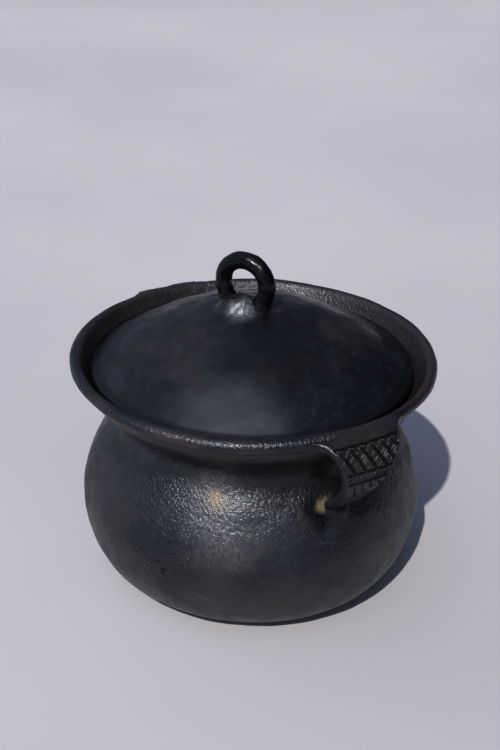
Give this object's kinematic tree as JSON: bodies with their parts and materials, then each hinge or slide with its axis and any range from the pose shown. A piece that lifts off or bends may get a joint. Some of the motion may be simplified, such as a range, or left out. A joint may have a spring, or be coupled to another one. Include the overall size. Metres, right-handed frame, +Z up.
{
  "type": "lidded clay pot",
  "caption": "Round-bellied black clay cooking pot with a flared rolled rim, incised ear handles from rim to shoulder, and a loose domed lid lifted by a clay ring.",
  "frame": {"origin": "centre of the flat foot that the pot stands on", "axes": "+Z up along the pot's axis, +X towards one ear handle and -X towards the other"},
  "size_m": [0.3082, 0.28, 0.2614],
  "materials": {
    "pot_clay": "smoke-blackened clay, burnished to a satin, faintly pitted",
    "handle_clay": "smoke-blackened clay, satin, with incised lines",
    "lid_clay": "smoke-blackened clay, burnished smooth, satin",
    "ring_clay": "smoke-blackened clay, burnished to a shine"
  },
  "bodies": {
    "pot": {"base_bowl": "pot_clay", "belly_wall": "pot_clay", "rim_collar": "pot_clay", "handle_right": "handle_clay", "handle_left": "handle_clay"},
    "lid": {"lid_dome": "lid_clay", "lid_pad": "lid_clay", "lid_ring": "ring_clay"}
  },
  "joints": [
    {"name": "lid_lift", "type": "slide", "parent": "pot", "child": "lid", "axis": [0, 0, 1], "range_m": [0, 0.12]}
  ]
}
